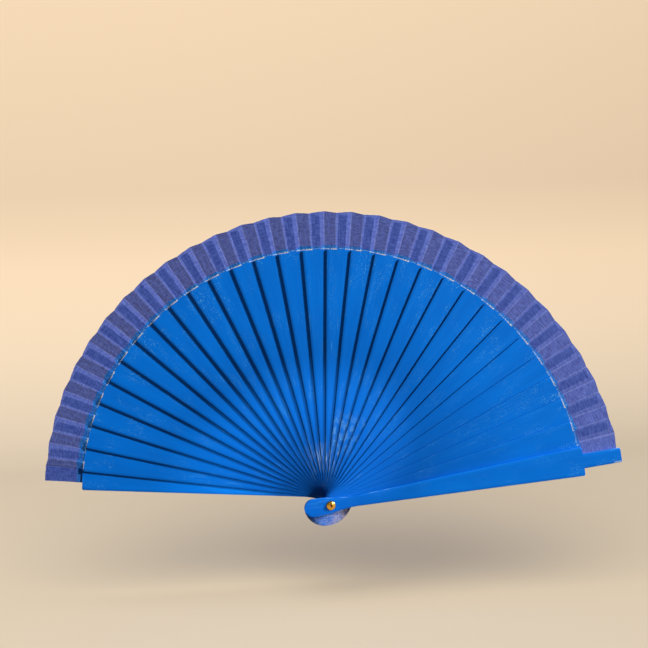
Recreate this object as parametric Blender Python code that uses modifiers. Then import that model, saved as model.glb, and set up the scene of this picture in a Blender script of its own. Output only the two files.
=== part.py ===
"""A painted wooden folding fan with a pleated cloth leaf, open, every blade on one brass rivet.

Frame: the rivet's axis is Y and its middle is the origin. The open fan stands in the XZ plane,
symmetric about Z, and its front guard is the blade furthest towards -Y.
A blade's own frame has its length along +X, its width along Z and its thickness along Y.
"""

import math

import bmesh
import bpy
from mathutils import Matrix

MM = 0.001

# The stack of blades on the rivet
STICK_COUNT = 29
STICK_PITCH_DEG = 5.55
FRONT_PITCH_DEG = 6.1
REAR_PITCH_DEG = 4.5
STICK_THICKNESS = 0.74 * MM
GUARD_THICKNESS = 2.0 * MM
CLEARANCE = 0.3 * MM

# A blade's outline: distances from the rivet's axis, and half widths
HEAD_END = 19.0 * MM
HEAD_HALF_WIDTH = 6.45 * MM
NECK_DISTANCE = 18.0 * MM
NECK_HALF_WIDTH = 3.75 * MM
SHOULDER_DISTANCE = 182.0 * MM
FRONT_SHOULDER_DISTANCE = 184.0 * MM
SHOULDER_HALF_WIDTH = 10.5 * MM
SHOULDER_RADIUS = 1.2 * MM
STICK_TIP_DISTANCE = 207.0 * MM
STICK_TIP_HALF_WIDTH = 2.85 * MM
FRONT_TIP_DISTANCE = 212.0 * MM
REAR_TIP_DISTANCE = 209.3 * MM
GUARD_TIP_HALF_WIDTH = 5.2 * MM
TIP_RADIUS = 0.9 * MM
NECK_STEPS = 6

# The thinned tip that the leaf is glued to
REBATE_DISTANCE = 182.4 * MM
STICK_TIP_THICKNESS = 0.4 * MM
REAR_TIP_THICKNESS = 1.2 * MM

# The rivet and its washer
HOLE_RADIUS = 1.8 * MM
HOLE_STEPS = 24
SHAFT_RADIUS = 1.5 * MM
HEAD_RADIUS = 3.25 * MM
HEAD_HEIGHT = 1.3 * MM
DIMPLE_RADIUS = 0.8 * MM
DIMPLE_DEPTH = 0.45 * MM
DOME_CROWN_DEG = 78.0
DOME_RIM_DEG = 4.0
DOME_STEPS = 5
TAIL_RADIUS = 2.5 * MM
TAIL_HEIGHT = 0.8 * MM
WASHER_RADIUS = 3.6 * MM
WASHER_THICKNESS = 0.5 * MM
ROUND_STEPS = 32

# The pleated leaf: angles from a blade's middle line to its folds
LEAF_INNER = 182.9 * MM
LEAF_OUTER = 209.0 * MM
LEAF_THICKNESS = 0.2 * MM
GLUE_HALF_DEG = 0.92
MOUNTAIN_DEG = 1.28
VALLEY_DEG = 1.76
LEAF_END_DEG = 1.42
REAR_FOLD_DEG = 1.6
MOUNTAIN_HEIGHT = 0.5 * MM
VALLEY_DEPTH = 0.6 * MM

LAYER = STICK_THICKNESS + CLEARANCE
OPEN_DEG = FRONT_PITCH_DEG + (STICK_COUNT - 1) * STICK_PITCH_DEG + REAR_PITCH_DEG
FRONT_GUARD_DEG = 90.0 - OPEN_DEG / 2
REAR_GUARD_DEG = 90.0 + OPEN_DEG / 2
GUARD_OFFSET = (STICK_COUNT - 1) / 2 * LAYER + STICK_THICKNESS / 2 + CLEARANCE + GUARD_THICKNESS / 2
STACK_FACE = GUARD_OFFSET + GUARD_THICKNESS / 2


def stick_angle(number):
    """Degrees from +X to stick number 1 to STICK_COUNT, counted from the front guard."""
    return FRONT_GUARD_DEG + FRONT_PITCH_DEG + (number - 1) * STICK_PITCH_DEG


def stick_offset(number):
    """Place of a stick's middle plane along Y."""
    return (number - (STICK_COUNT + 1) / 2) * LAYER


def arc(centre, radius, start_deg, end_deg, steps):
    """Points along a circle's arc, both ends included."""
    points = []
    for k in range(steps + 1):
        angle = math.radians(start_deg + (end_deg - start_deg) * k / steps)
        points.append((centre[0] + radius * math.cos(angle), centre[1] + radius * math.sin(angle)))
    return points


def blade_outline(shoulder_distance, tip_distance, tip_half_width):
    """One side of a blade from the end of its head to its tip, then the other side back."""
    head_centre = (HEAD_HALF_WIDTH - HEAD_END, 0.0)
    side = arc(head_centre, HEAD_HALF_WIDTH, 180, 90, 7)
    for k in range(1, NECK_STEPS + 1):
        t = k / NECK_STEPS
        ease = (1 - math.cos(math.pi * t)) / 2
        distance = head_centre[0] + (NECK_DISTANCE - head_centre[0]) * t
        side.append((distance, HEAD_HALF_WIDTH + (NECK_HALF_WIDTH - HEAD_HALF_WIDTH) * ease))
    shoulder = (shoulder_distance - SHOULDER_RADIUS, SHOULDER_HALF_WIDTH - SHOULDER_RADIUS)
    side += arc(shoulder, SHOULDER_RADIUS, 92, 0, 3)
    side.append((shoulder_distance, tip_half_width))
    side += arc((tip_distance - TIP_RADIUS, tip_half_width - TIP_RADIUS), TIP_RADIUS, 90, 0, 2)
    other_side = [(x, -y) for x, y in reversed(side) if abs(y) > 1e-9]
    return side + other_side


def add_ring(curve, points):
    """Add a closed straight-sided spline to a flat curve."""
    spline = curve.splines.new("POLY")
    spline.points.add(len(points) - 1)
    for point, (x, y) in zip(spline.points, points):
        point.co = (x, y, 0.0, 1.0)
    spline.use_cyclic_u = True


def evaluated_mesh(obj, name):
    """The object's mesh with its modifiers applied, and its loose caps welded."""
    depsgraph = bpy.context.evaluated_depsgraph_get()
    mesh = bpy.data.meshes.new_from_object(obj.evaluated_get(depsgraph))
    mesh.name = name
    shape = bmesh.new()
    shape.from_mesh(mesh)
    bmesh.ops.remove_doubles(shape, verts=shape.verts, dist=1e-6)
    bmesh.ops.recalc_face_normals(shape, faces=shape.faces)
    shape.to_mesh(mesh)
    shape.free()
    return mesh


def blade_mesh(name, thickness, outline_sizes, collection):
    """A flat blade with its rivet hole, cut from a sheet of wood to blade_outline's sizes."""
    curve = bpy.data.curves.new(name + "_outline", "CURVE")
    curve.dimensions = "2D"
    curve.fill_mode = "BOTH"
    curve.extrude = thickness / 2
    add_ring(curve, blade_outline(*outline_sizes))
    add_ring(curve, arc((0.0, 0.0), HOLE_RADIUS, 0, 360 - 360 / HOLE_STEPS, HOLE_STEPS - 1))
    outline = bpy.data.objects.new(name + "_outline", curve)
    collection.objects.link(outline)
    mesh = evaluated_mesh(outline, name)
    mesh.transform(Matrix.Rotation(math.pi / 2, 4, "X"))
    bpy.data.objects.remove(outline)
    bpy.data.curves.remove(curve)
    return mesh


def thin_the_tip(mesh, thickness, tip_thickness, parts, cutters):
    """Pare the front of a blade's tip away beyond the shoulder, leaving tip_thickness."""
    depth = 2 * thickness
    length = FRONT_TIP_DISTANCE
    bpy.ops.mesh.primitive_cube_add(size=1.0)
    cutter = bpy.context.object
    cutter.name = mesh.name + "_rebate"
    cutter.scale = (length, depth, 4 * SHOULDER_HALF_WIDTH)
    front_of_tip = thickness / 2 - tip_thickness
    cutter.location = (REBATE_DISTANCE + length / 2, front_of_tip - depth / 2, 0.0)
    move_to(cutter, cutters)
    cutter.hide_render = True
    cutter.display_type = "WIRE"
    blank = bpy.data.objects.new(mesh.name + "_blank", mesh)
    parts.objects.link(blank)
    cut = blank.modifiers.new("rebate", "BOOLEAN")
    cut.operation = "DIFFERENCE"
    cut.solver = "EXACT"
    cut.object = cutter
    bpy.context.view_layer.update()
    thinned = evaluated_mesh(blank, mesh.name + "_thinned")
    bpy.data.objects.remove(blank)
    return thinned


def move_to(obj, collection):
    """Leave the object in this collection alone."""
    for old in list(obj.users_collection):
        old.objects.unlink(obj)
    collection.objects.link(obj)


def material(name, colour, roughness, metallic=0.0):
    """A Principled material of one linear colour."""
    made = bpy.data.materials.new(name)
    made.use_nodes = True
    shader = made.node_tree.nodes["Principled BSDF"]
    shader.inputs["Base Color"].default_value = (*colour, 1.0)
    shader.inputs["Roughness"].default_value = roughness
    shader.inputs["Metallic"].default_value = metallic
    return made


def place_blade(name, mesh, angle_deg, offset, axis, paint, collection):
    """Put a blade on the rivet's axis at its angle and its layer."""
    blade = bpy.data.objects.new(name, mesh)
    collection.objects.link(blade)
    blade.parent = axis
    blade.location = (0.0, offset, 0.0)
    blade.rotation_euler = (0.0, -math.radians(angle_deg), 0.0)
    if not mesh.materials:
        mesh.materials.append(paint)
    return blade


def turned(name, profile, axis, metal, collection):
    """A round piece about the rivet's axis: profile is (radius, distance towards the front)."""
    mesh = bpy.data.meshes.new(name)
    edges = [(k, k + 1) for k in range(len(profile) - 1)]
    mesh.from_pydata([(radius, 0.0, height) for radius, height in profile], edges, [])
    obj = bpy.data.objects.new(name, mesh)
    collection.objects.link(obj)
    obj.parent = axis
    obj.rotation_euler = (math.pi / 2, 0.0, 0.0)
    screw = obj.modifiers.new("turning", "SCREW")
    screw.axis = "Z"
    screw.steps = ROUND_STEPS
    screw.render_steps = ROUND_STEPS
    screw.use_merge_vertices = True
    screw.merge_threshold = 1e-6
    mesh.materials.append(metal)
    return obj


def rivet_profile():
    """Domed head with a small dimple, long shaft, and peened tail, from the front backwards."""
    base = STACK_FACE + CLEARANCE
    top = base + HEAD_HEIGHT
    profile = [(0.0, top - DIMPLE_DEPTH), (0.55 * DIMPLE_RADIUS, top - 0.8 * DIMPLE_DEPTH)]
    crown, rim = math.radians(DOME_CROWN_DEG), math.radians(DOME_RIM_DEG)
    span = math.cos(rim) - math.cos(crown)
    for k in range(DOME_STEPS + 1):
        angle = crown + (rim - crown) * k / DOME_STEPS
        share = (math.cos(angle) - math.cos(crown)) / span
        radius = DIMPLE_RADIUS + (HEAD_RADIUS - DIMPLE_RADIUS) * share
        profile.append((radius, base + HEAD_HEIGHT * math.sin(angle)))
    profile += [(HEAD_RADIUS, base), (SHAFT_RADIUS, base)]
    seat = -(STACK_FACE + WASHER_THICKNESS + 2 * CLEARANCE)
    profile += [(SHAFT_RADIUS, seat), (TAIL_RADIUS, seat)]
    profile += [(TAIL_RADIUS, seat - 0.35 * TAIL_HEIGHT), (0.8 * TAIL_RADIUS, seat - 0.75 * TAIL_HEIGHT)]
    profile += [(0.4 * TAIL_RADIUS, seat - TAIL_HEIGHT), (0.0, seat - TAIL_HEIGHT)]
    return profile


def washer_profile():
    """A flat ring behind the rear guard, as a closed section."""
    front = -(STACK_FACE + CLEARANCE)
    back = front - WASHER_THICKNESS
    edge = 0.12 * MM
    outer = [(WASHER_RADIUS - edge, front), (WASHER_RADIUS, front - edge)]
    outer += [(WASHER_RADIUS, back + edge), (WASHER_RADIUS - edge, back)]
    return [(HOLE_RADIUS, front)] + outer + [(HOLE_RADIUS, back), (HOLE_RADIUS, front)]


def leaf_folds():
    """(angle in degrees, place along Y) of each line across the leaf, from the rear guard on."""
    cloth = CLEARANCE + LEAF_THICKNESS / 2
    rear_glue = GUARD_OFFSET + GUARD_THICKNESS / 2 - REAR_TIP_THICKNESS - cloth
    folds = [(REAR_GUARD_DEG + LEAF_END_DEG, rear_glue), (REAR_GUARD_DEG - REAR_FOLD_DEG, rear_glue)]
    for number in range(STICK_COUNT, 0, -1):
        angle = stick_angle(number)
        glue = stick_offset(number) + STICK_THICKNESS / 2 - STICK_TIP_THICKNESS - cloth
        folds.append((angle + MOUNTAIN_DEG, glue - MOUNTAIN_HEIGHT))
        folds.append((angle + GLUE_HALF_DEG, glue))
        folds.append((angle - GLUE_HALF_DEG, glue))
        folds.append((angle - VALLEY_DEG, glue + VALLEY_DEPTH))
    behind_guard = -GUARD_OFFSET + GUARD_THICKNESS / 2 + cloth
    folds.append((FRONT_GUARD_DEG + LEAF_END_DEG, behind_guard))
    folds.append((FRONT_GUARD_DEG - LEAF_END_DEG, behind_guard))
    return folds


def make_leaf(axis, cloth, collection):
    """The pleated cloth as one closed sheet, folded along lines that run to the rivet."""
    folds = leaf_folds()
    columns = len(folds) - 1
    shape = bmesh.new()
    bmesh.ops.create_grid(shape, x_segments=columns, y_segments=1, size=0.5)
    for vert in shape.verts:
        angle, offset = folds[round((0.5 + vert.co.x) * columns)]
        distance = LEAF_INNER if vert.co.y < 0 else LEAF_OUTER
        turn = math.radians(angle)
        vert.co = (distance * math.cos(turn), offset, distance * math.sin(turn))
    mesh = bpy.data.meshes.new("leaf")
    shape.to_mesh(mesh)
    shape.free()
    leaf = bpy.data.objects.new("leaf", mesh)
    collection.objects.link(leaf)
    leaf.parent = axis
    solid = leaf.modifiers.new("cloth_thickness", "SOLIDIFY")
    solid.thickness = LEAF_THICKNESS
    solid.offset = 0.0
    mesh.materials.append(cloth)
    return leaf


def build_fan():
    """Every piece of the fan, parented to the rivet's axis."""
    for obj in list(bpy.data.objects):
        bpy.data.objects.remove(obj)
    parts = bpy.data.collections.new("folding_fan")
    cutters = bpy.data.collections.new("cutters")
    bpy.context.scene.collection.children.link(parts)
    bpy.context.scene.collection.children.link(cutters)
    axis = bpy.data.objects.new("rivet_axis", None)
    parts.objects.link(axis)

    blue_paint = material("blue_painted_wood", (0.0, 0.14, 0.60), 0.5)
    guard_paint = material("blue_painted_guard", (0.0, 0.16, 0.64), 0.45)
    leaf_cloth = material("blue_violet_cloth", (0.06, 0.08, 0.35), 0.9)
    brass = material("polished_brass", (0.72, 0.48, 0.16), 0.3, 1.0)

    stick_sizes = (SHOULDER_DISTANCE, STICK_TIP_DISTANCE, STICK_TIP_HALF_WIDTH)
    stick = blade_mesh("stick", STICK_THICKNESS, stick_sizes, parts)
    stick = thin_the_tip(stick, STICK_THICKNESS, STICK_TIP_THICKNESS, parts, cutters)
    front_sizes = (FRONT_SHOULDER_DISTANCE, FRONT_TIP_DISTANCE, GUARD_TIP_HALF_WIDTH)
    front = blade_mesh("front_guard", GUARD_THICKNESS, front_sizes, parts)
    rear_sizes = (SHOULDER_DISTANCE, REAR_TIP_DISTANCE, GUARD_TIP_HALF_WIDTH)
    rear = blade_mesh("rear_guard", GUARD_THICKNESS, rear_sizes, parts)
    rear = thin_the_tip(rear, GUARD_THICKNESS, REAR_TIP_THICKNESS, parts, cutters)

    place_blade("front_guard", front, FRONT_GUARD_DEG, -GUARD_OFFSET, axis, guard_paint, parts)
    for number in range(1, STICK_COUNT + 1):
        name = f"stick_{number:02d}"
        place_blade(name, stick, stick_angle(number), stick_offset(number), axis, blue_paint, parts)
    place_blade("rear_guard", rear, REAR_GUARD_DEG, GUARD_OFFSET, axis, guard_paint, parts)

    turned("rivet", rivet_profile(), axis, brass, parts)
    turned("rivet_washer", washer_profile(), axis, brass, parts)
    make_leaf(axis, leaf_cloth, parts)


build_fan()
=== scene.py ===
import math
import random

import bmesh
import bpy
from mathutils import Matrix, Vector


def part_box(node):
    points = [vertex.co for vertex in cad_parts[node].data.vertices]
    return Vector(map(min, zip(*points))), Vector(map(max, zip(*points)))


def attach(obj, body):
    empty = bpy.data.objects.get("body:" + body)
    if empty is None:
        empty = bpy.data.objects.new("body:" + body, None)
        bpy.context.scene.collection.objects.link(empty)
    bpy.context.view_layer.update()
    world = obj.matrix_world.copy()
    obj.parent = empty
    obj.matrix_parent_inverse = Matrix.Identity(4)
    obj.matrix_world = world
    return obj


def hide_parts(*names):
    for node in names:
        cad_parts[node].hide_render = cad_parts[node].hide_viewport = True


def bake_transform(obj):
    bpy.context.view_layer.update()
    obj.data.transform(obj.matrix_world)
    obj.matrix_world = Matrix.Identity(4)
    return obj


mm = 0.001

# A folding fan: wooden blades painted blue on one brass rivet, and a pleated cotton leaf.
# The rivet lies along Y at the origin, and a blade's angle is counted from +X towards +Z.

stack = {
    "stickCount": 29,
    "pitchDeg": 5.55,        # turn from one blade to the next
    "frontPitchDeg": 6.1,    # turn from the front guard to the first stick
    "rearPitchDeg": 4.5,     # and from the last stick to the rear guard
    "clearance": 0.3 * mm,
}


def hexToLinear(code):
    # sRGB hex to the linear colour that a shader takes
    parts = [int(code[k:k + 2], 16) / 255 for k in (1, 3, 5)]
    return [p / 12.92 if p <= 0.04045 else ((p + 0.055) / 1.055) ** 2.4 for p in parts]


def addNode(tree, kind, settings=None, links=None):
    # one node, its settings by attribute or socket, and what feeds its sockets: an output, or a node
    # where its first output is meant
    node = tree.nodes.new(kind)
    for key, value in (settings or {}).items():
        if isinstance(key, str) and hasattr(node, key):
            setattr(node, key, value)
        else:
            node.inputs[key].default_value = value
    for key, source in (links or {}).items():
        output = source.outputs[0] if isinstance(source, bpy.types.Node) else source
        tree.links.new(output, node.inputs[key])
    return node


def newObject(name, data):
    # an object with this mesh, lamp or camera, in the scene
    made = bpy.data.objects.new(name, data)
    bpy.context.scene.collection.objects.link(made)
    return made


def setCurve(node, points):
    # a Float Curve node drawn with straight lines through these points
    curve = node.mapping.curves[0]
    while len(curve.points) > 2:
        curve.points.remove(curve.points[1])
    curve.points[0].location = points[0]
    curve.points[1].location = points[-1]
    for point in points[1:-1]:
        curve.points.new(*point)
    for point in curve.points:
        point.handle_type = "VECTOR"
    node.mapping.update()


innerDeg = (stack["stickCount"] - 1) * stack["pitchDeg"]
openDeg = stack["frontPitchDeg"] + innerDeg + stack["rearPitchDeg"]
frontGuardDeg = 90 - openDeg / 2
rearGuardDeg = 90 + openDeg / 2
lastBlade = stack["stickCount"] + 1     # blades count from the front guard, 0, to the rear one


def bladeName(number):
    return {0: "front_guard", lastBlade: "rear_guard"}.get(number, f"stick_{number:02d}")


def bladeKind(number):
    return {0: "frontGuard", lastBlade: "rearGuard"}.get(number, "stick")


def bladeDeg(number):
    inner = frontGuardDeg + stack["frontPitchDeg"] + (number - 1) * stack["pitchDeg"]
    return {0: frontGuardDeg, lastBlade: rearGuardDeg}.get(number, inner)


def middleOf(node):
    # a blade's middle plane along Y
    low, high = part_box(node)
    return (low.y + high.y) / 2


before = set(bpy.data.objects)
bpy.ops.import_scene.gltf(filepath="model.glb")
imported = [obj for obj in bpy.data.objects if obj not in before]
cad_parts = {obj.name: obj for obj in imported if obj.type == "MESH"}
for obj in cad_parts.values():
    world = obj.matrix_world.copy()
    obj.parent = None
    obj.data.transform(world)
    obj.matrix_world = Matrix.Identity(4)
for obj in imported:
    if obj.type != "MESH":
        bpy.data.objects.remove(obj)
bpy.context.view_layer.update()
print("frame loaded:", len(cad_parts), "nodes")

bladeShape = {
    "headEnd": 19.0 * mm,
    "headHalfWidth": 6.45 * mm,
    "neckDistance": 18.0 * mm,
    "neckHalfWidth": 3.75 * mm,
    "shoulderHalfWidth": 10.5 * mm,
    "shoulderRadius": 1.2 * mm,
    "rebateDistance": 182.4 * mm,
    "tipRadius": 0.9 * mm,
    "holeRadius": 1.8 * mm,
    "wearReach": 2.2 * mm,   # how far from an edge the paint can be rubbed
    "headTurns": (4, 12, 22, 34, 46, 58, 70, 80, 90),   # degrees round the head's end
    "cornerTurns": (30, 60, 90),                        # and round a corner
    "neckSteps": 10,
    "longSteps": 16,
    "shoulderStep": 0.1 * mm,
    "rebateAfter": 0.4 * mm,     # the thinned tip begins at least this far past the shoulder
    "rebateSlope": 0.12 * mm,
    "roundedShare": 0.29,        # where a quarter round is cut at 45 degrees
    "flatShare": 0.3,            # a column of points this far across the flat face
    "drillDepth": 8 * mm,
    "drillSteps": 48,
    "sharpDeg": 40,
}

# Each kind of blade: its thickness, its tip, and how far its edges are rounded over
bladeKinds = {
    "stick": {"thickness": 0.74 * mm, "tipThickness": 0.4 * mm, "shoulder": 182.0 * mm,
              "tipDistance": 207.0 * mm, "tipHalfWidth": 2.85 * mm, "rounding": 0.12 * mm},
    "frontGuard": {"thickness": 2.0 * mm, "tipThickness": 2.0 * mm, "shoulder": 184.0 * mm,
                   "tipDistance": 212.0 * mm, "tipHalfWidth": 5.2 * mm, "rounding": 0.4 * mm},
    "rearGuard": {"thickness": 2.0 * mm, "tipThickness": 1.2 * mm, "shoulder": 182.0 * mm,
                  "tipDistance": 209.3 * mm, "tipHalfWidth": 5.2 * mm, "rounding": 0.4 * mm},
}


def bladeStations(kind):
    # (distance, half width, front depth, back depth) along a blade, from its head to its tip
    s, k = bladeShape, bladeKinds[kind]
    front, back = -k["thickness"] / 2, k["thickness"] / 2
    tipFront = back - k["tipThickness"]
    centre, neck = s["headHalfWidth"] - s["headEnd"], s["neckHalfWidth"]
    stations = []
    for deg in s["headTurns"]:
        turn = math.radians(deg)
        distance = centre - s["headHalfWidth"] * math.cos(turn)
        stations.append((distance, s["headHalfWidth"] * math.sin(turn), front, back))
    for step in range(1, s["neckSteps"] + 1):
        t = step / s["neckSteps"]
        ease = (1 - math.cos(math.pi * t)) / 2
        distance = centre + (s["neckDistance"] - centre) * t
        width = s["headHalfWidth"] + (neck - s["headHalfWidth"]) * ease
        stations.append((distance, width, front, back))
    corner = k["shoulder"] - s["shoulderRadius"]
    slope = (s["shoulderHalfWidth"] - neck) / (corner - s["neckDistance"])
    for step in range(1, s["longSteps"] + 1):
        distance = s["neckDistance"] + (corner - s["neckDistance"]) * step / s["longSteps"]
        stations.append((distance, neck + slope * (distance - s["neckDistance"]), front, back))
    inset = s["shoulderHalfWidth"] - s["shoulderRadius"]
    for deg in s["cornerTurns"]:
        turn = math.radians(deg)
        stations.append((corner + s["shoulderRadius"] * math.sin(turn),
                         inset + s["shoulderRadius"] * math.cos(turn), front, back))
    stations.append((k["shoulder"] + s["shoulderStep"], k["tipHalfWidth"], front, back))
    start = max(s["rebateDistance"], k["shoulder"] + s["rebateAfter"])
    stations.append((start, k["tipHalfWidth"], front, back))
    if tipFront != front:
        stations.append((start + s["rebateSlope"], k["tipHalfWidth"], tipFront, back))
    corner = k["tipDistance"] - s["tipRadius"]
    for share in (0.5, 1.0):
        distance = start + (corner - start) * share
        stations.append((distance, k["tipHalfWidth"], tipFront, back))
    for deg in s["cornerTurns"]:
        turn = math.radians(deg)
        stations.append((corner + s["tipRadius"] * math.sin(turn),
                         k["tipHalfWidth"] - s["tipRadius"] * (1 - math.cos(turn)), tipFront, back))
    return stations


def bladeSection(width, front, back, rounding):
    # points round a blade's section as (side, depth, nearness to the edge)
    s = bladeShape
    b = min(rounding, 0.4 * width, 0.45 * (back - front))
    c = s["roundedShare"] * b
    reach = min(s["wearReach"], 0.45 * width)
    near = 1 - b / s["wearReach"]
    far = 1 - reach / s["wearReach"]
    half = [(-width + b, near), (-width + reach, far), (-s["flatShare"] * width, 0.0)]
    across = half + [(0.0, 0.0)] + [(-v, e) for v, e in reversed(half)]
    section = [(v, front, e) for v, e in across]
    section += [(width - c, front + c, 1.0), (width, front + b, 1.0)]
    section += [(width, back - b, 1.0), (width - c, back - c, 1.0)]
    section += [(v, back, e) for v, e in reversed(across)]
    section += [(-width + c, back - c, 1.0), (-width, back - b, 1.0)]
    section += [(-width, front + b, 1.0), (-width + c, front + c, 1.0)]
    return section


def bladeBlank(kind):
    # a lofted blade along +X, with its place on the wood kept in millimetres for the paint
    shape = bmesh.new()
    placeLayer = shape.verts.layers.float_vector.new("bladeMm")
    edgeLayer = shape.verts.layers.float.new("edge")
    rings = []
    for distance, width, front, back in bladeStations(kind):
        ring = []
        for side, depth, near in bladeSection(width, front, back, bladeKinds[kind]["rounding"]):
            vert = shape.verts.new((distance, depth, side))
            vert[placeLayer] = Vector((distance, side, depth)) / mm
            vert[edgeLayer] = near
            ring.append(vert)
        rings.append(ring)
    count = len(rings[0])
    for a, b in zip(rings, rings[1:]):
        for k in range(count):
            shape.faces.new((a[k], a[(k + 1) % count], b[(k + 1) % count], b[k]))
    shape.faces.new(rings[0])
    shape.faces.new(list(reversed(rings[-1])))
    bmesh.ops.recalc_face_normals(shape, faces=shape.faces)
    mesh = bpy.data.meshes.new(kind + "Blank")
    shape.to_mesh(mesh)
    shape.free()
    return drilled(mesh, kind)


def drilled(mesh, kind):
    # the same blade with its rivet hole
    s = bladeShape
    bpy.ops.mesh.primitive_cylinder_add(vertices=s["drillSteps"], radius=s["holeRadius"],
                                        depth=s["drillDepth"], rotation=(math.pi / 2, 0, 0))
    drill = bpy.context.object
    blank = newObject(kind + "Drilling", mesh)
    cut = blank.modifiers.new("rivetHole", "BOOLEAN")
    cut.operation = "DIFFERENCE"
    cut.solver = "EXACT"
    cut.object = drill
    result = bpy.data.meshes.new_from_object(blank.evaluated_get(bpy.context.evaluated_depsgraph_get()))
    result.name = kind + "Blank"
    result.materials.clear()
    bpy.data.objects.remove(blank)
    bpy.data.objects.remove(drill)
    return result


def newTree(name, inputs):
    # a Geometry Nodes tree with these named inputs, what its group input gives, and its group output
    tree = bpy.data.node_groups.new(name, "GeometryNodeTree")
    tree.interface.new_socket("Geometry", in_out="INPUT", socket_type="NodeSocketGeometry")
    for label, kind in inputs:
        tree.interface.new_socket(label, in_out="INPUT", socket_type=kind)
    tree.interface.new_socket("Geometry", in_out="OUTPUT", socket_type="NodeSocketGeometry")
    return tree, tree.nodes.new("NodeGroupInput").outputs, tree.nodes.new("NodeGroupOutput")


def finishedTree(tree, out, shape, material):
    # real geometry with its material, given out by the tree
    real = addNode(tree, "GeometryNodeRealizeInstances", {}, {"Geometry": shape})
    covered = addNode(tree, "GeometryNodeSetMaterial", {}, {"Geometry": real, "Material": material})
    tree.links.new(covered.outputs[0], out.inputs[0])
    return tree


def runTree(name, mesh, tree, values):
    # an object of the mesh that the tree makes of this one
    obj = newObject(name + "Source", mesh)
    modifier = obj.modifiers.new(tree.name, "NODES")
    modifier.node_group = tree
    for item in tree.interface.items_tree:
        if item.in_out == "INPUT" and item.name in values:
            modifier[item.identifier] = values[item.name]
    bpy.context.view_layer.update()
    result = bpy.data.meshes.new_from_object(obj.evaluated_get(bpy.context.evaluated_depsgraph_get()))
    bpy.data.objects.remove(obj)
    result.name = name
    return newObject(name, result)


def bladeTree():
    # turns a blade blank to its angle, moves it to its layer and numbers it
    inputs = [("Angle", "NodeSocketFloat"), ("Layer", "NodeSocketFloat"), ("Number", "NodeSocketInt"),
              ("Paint", "NodeSocketMaterial")]
    tree, given, out = newTree("bladeOnRivet", inputs)
    turn = addNode(tree, "ShaderNodeMath", {"operation": "MULTIPLY", 1: -1.0}, {0: given["Angle"]})
    angles = addNode(tree, "ShaderNodeCombineXYZ", {}, {"Y": turn})
    rotation = addNode(tree, "FunctionNodeEulerToRotation", {}, {0: angles})
    shift = addNode(tree, "ShaderNodeCombineXYZ", {}, {"Y": given["Layer"]})
    placed = addNode(tree, "GeometryNodeTransform", {},
                     {"Geometry": given["Geometry"], "Translation": shift,
                      "Rotation": rotation})
    numbered = addNode(tree, "GeometryNodeStoreNamedAttribute", {"Name": "bladeNumber"},
                       {"Geometry": placed, "Value": given["Number"]})
    return finishedTree(tree, out, numbered, given["Paint"])


def finishedMesh(obj, sharpDeg):
    # smooth over the rounded edges and keep the flats crisp
    obj.data.shade_smooth()
    obj.data.set_sharp_from_angle(angle=math.radians(sharpDeg))
    return obj


def makeBlades(paints):
    # the two guards and the sticks, each riding on its own body
    tree = bladeTree()
    blanks = {kind: bladeBlank(kind) for kind in bladeKinds}
    for number in (0, lastBlade, *range(1, lastBlade)):
        node, kind = bladeName(number), bladeKind(number)
        paint = "stick" if kind == "stick" else "guard"
        values = {"Angle": math.radians(bladeDeg(number)), "Layer": middleOf(node), "Number": number,
                  "Paint": paints[paint]}
        blade = finishedMesh(runTree(node + "_wood", blanks[kind], tree, values), bladeShape["sharpDeg"])
        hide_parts(node)
        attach(blade, node)
    print("blades made:", lastBlade + 1)


leafShape = {
    "inner": 182.3 * mm,
    "outer": 208.2 * mm,     # cut edge at the folds in front
    "outerReach": 1.4 * mm,  # how much further out it is at the folds behind
    "frontFlare": 2.0 * mm,  # and how much further towards the front guard
    "flareFromDeg": 45.0,    # the blade's angle at which that begins
    "flarePower": 1.3,
    "glueHalfDeg": 0.92,     # half the width of cloth glued to a stick's tip
    "mountainDeg": 1.28,     # from a blade's middle line to the fold in front of it
    "valleyDeg": 1.76,       # and to the fold behind, on its other side
    "mountainHeight": 0.22 * mm,
    "valleyDepth": 0.45 * mm,
    "endDeg": 1.42,          # how far the cloth reaches past the front guard's middle line
    "rearEndDeg": 1.5,       # and past the rear guard's
    "rearFoldDeg": 1.6,
    "glueGap": 0.12 * mm,    # cloth to the face it is glued on
    "edgeWave": 0.25 * mm,   # how wavy the cut edge is
    "innerWaveShare": 0.7,
    "waveNoise": {"Scale": 1.7, "Detail": 3.0},
    "wrinkle": 0.5 * mm,
    "crinkleScale": (0.9, 3.0, 1.0),
    "crinkleNoise": {"Scale": 1.0, "Detail": 3.0},
    "seed": 3.7,
    "foldSeed": 11,
    "foldChange": (0.85, 1.1),   # no two folds are equally deep
    "middleMm": 195.0,       # distance at which the cloth is measured across
    "hem": 0.6 * mm,         # what the cut edge's reach adds to the sheet's width
    "columns": 48,
    "rows": 26,
    "sharpDeg": 12,
}


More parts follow.
